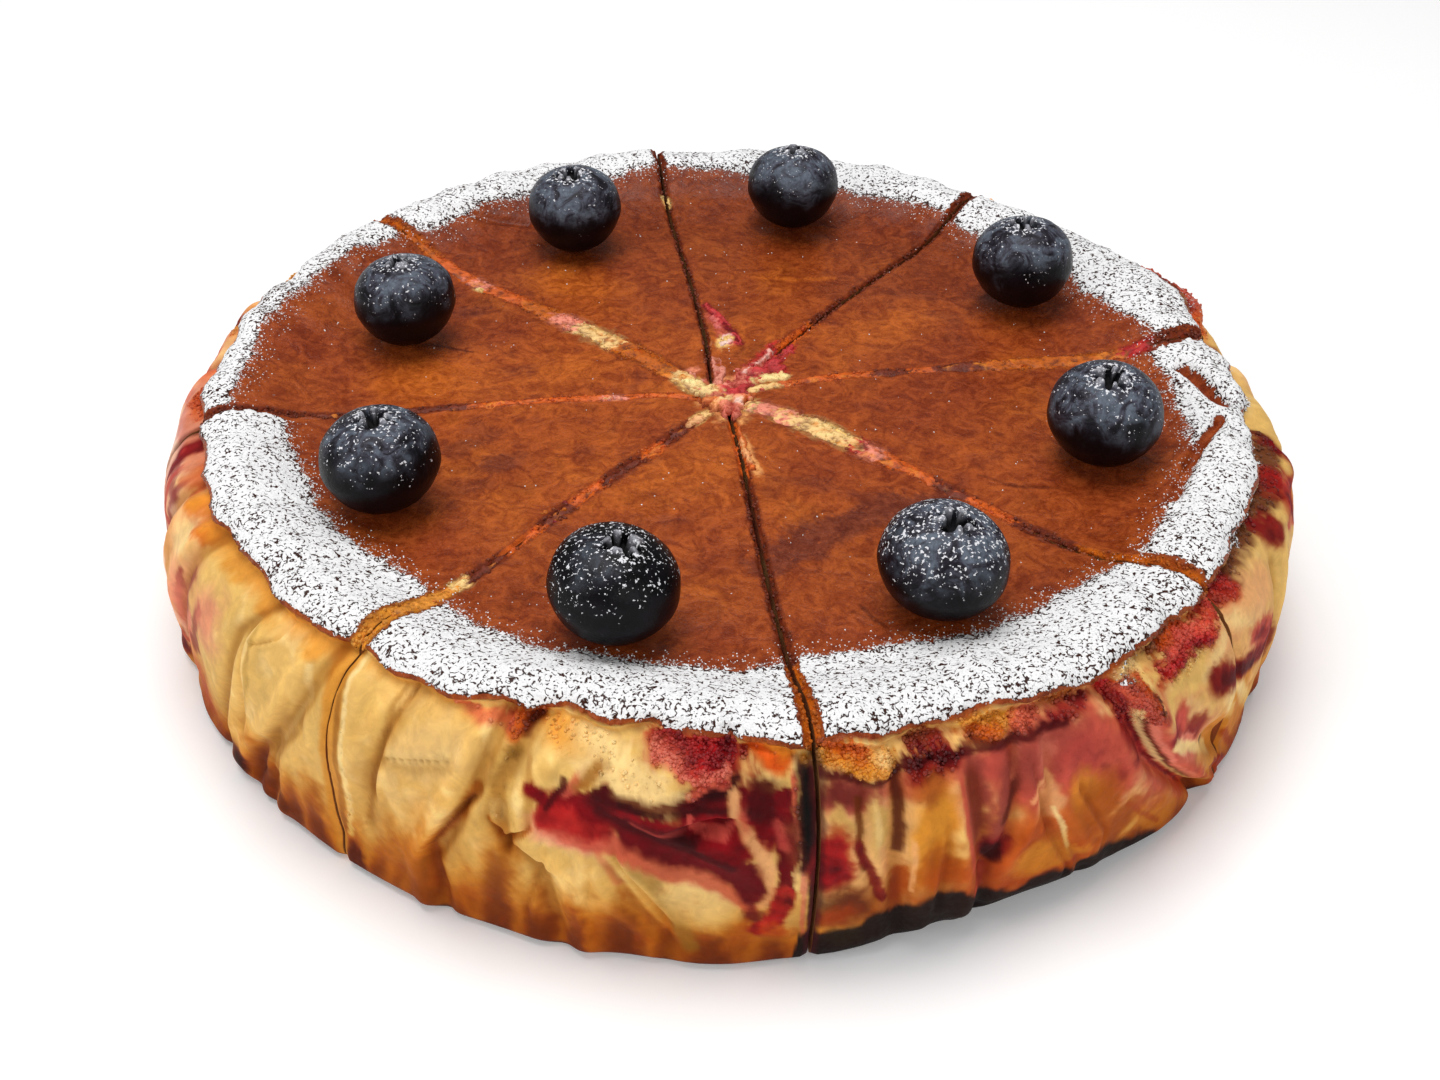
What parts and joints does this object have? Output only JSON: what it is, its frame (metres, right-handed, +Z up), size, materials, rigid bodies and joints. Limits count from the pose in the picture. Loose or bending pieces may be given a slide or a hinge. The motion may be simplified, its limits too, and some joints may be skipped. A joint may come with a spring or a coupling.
{
  "type": "basque cheesecake",
  "caption": "Round burnt cheesecake with berry marbling, cut into slices that still stand together, each with a sugared rim and a dark berry on top.",
  "frame": {"origin": "middle of the whole cake's bounding box, on the plane that it rests on", "axes": "+Z up; -Y towards the front, the side that the picture looks at; +X to the right seen from the front"},
  "size_m": [0.2028, 0.199, 0.0543],
  "materials": {
    "cake": "dark caramel crust with a soft shine, white sugar on the rim, cream and berry-red crumb at the sides",
    "berry": "blue-black skin with a pale bloom and specks of sugar"
  },
  "bodies": {
    "root": {"slice_1": "cake", "slice_2": "cake", "slice_3": "cake", "slice_4": "cake", "slice_5": "cake", "slice_6": "cake", "slice_7": "cake", "slice_8": "cake", "berry_1": "berry", "berry_2": "berry", "berry_3": "berry", "berry_4": "berry", "berry_5": "berry", "berry_6": "berry", "berry_7": "berry", "berry_8": "berry"}
  },
  "joints": []
}
